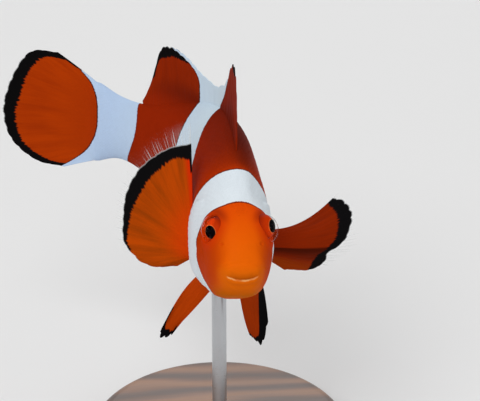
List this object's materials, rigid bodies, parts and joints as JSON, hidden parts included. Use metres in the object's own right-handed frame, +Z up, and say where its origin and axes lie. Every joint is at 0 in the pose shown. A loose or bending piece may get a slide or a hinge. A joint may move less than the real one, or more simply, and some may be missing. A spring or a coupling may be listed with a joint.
{
  "type": "clownfish model",
  "caption": "Life-size still model of a common clownfish swimming with its fins spread and its tail bent to its right, held over a round base by one short rod.",
  "frame": {"origin": "centre of the flat underside of the stand's base", "axes": "+Z up; the fish's snout points to -Y and its left side is on +X at the head; its tail bends towards -X"},
  "size_m": [0.0574, 0.0644, 0.0761],
  "materials": {
    "skin_orange": "satin",
    "skin_red_orange": "satin",
    "skin_white": "satin",
    "eye_black": "gloss",
    "stand_walnut": "satin",
    "stand_steel": "brushed"
  },
  "bodies": {
    "root": {"head": "skin_orange", "lower_jaw": "skin_orange", "gill_cover_left": "skin_white", "gill_cover_right": "skin_white", "eye_left": "eye_black", "eye_right": "eye_black", "trunk_front": "skin_red_orange", "trunk_rear": "skin_red_orange", "tail_stalk": "skin_white", "fin_dorsal_spiny": "skin_red_orange", "fin_dorsal_soft": "skin_red_orange", "fin_anal": "skin_red_orange", "fin_caudal": "skin_red_orange", "fin_pectoral_left": "skin_red_orange", "fin_pectoral_right": "skin_red_orange", "fin_pelvic_left": "skin_red_orange", "fin_pelvic_right": "skin_red_orange", "stand_base": "stand_walnut", "stand_rod": "stand_steel", "stand_cradle": "stand_steel"}
  },
  "joints": []
}
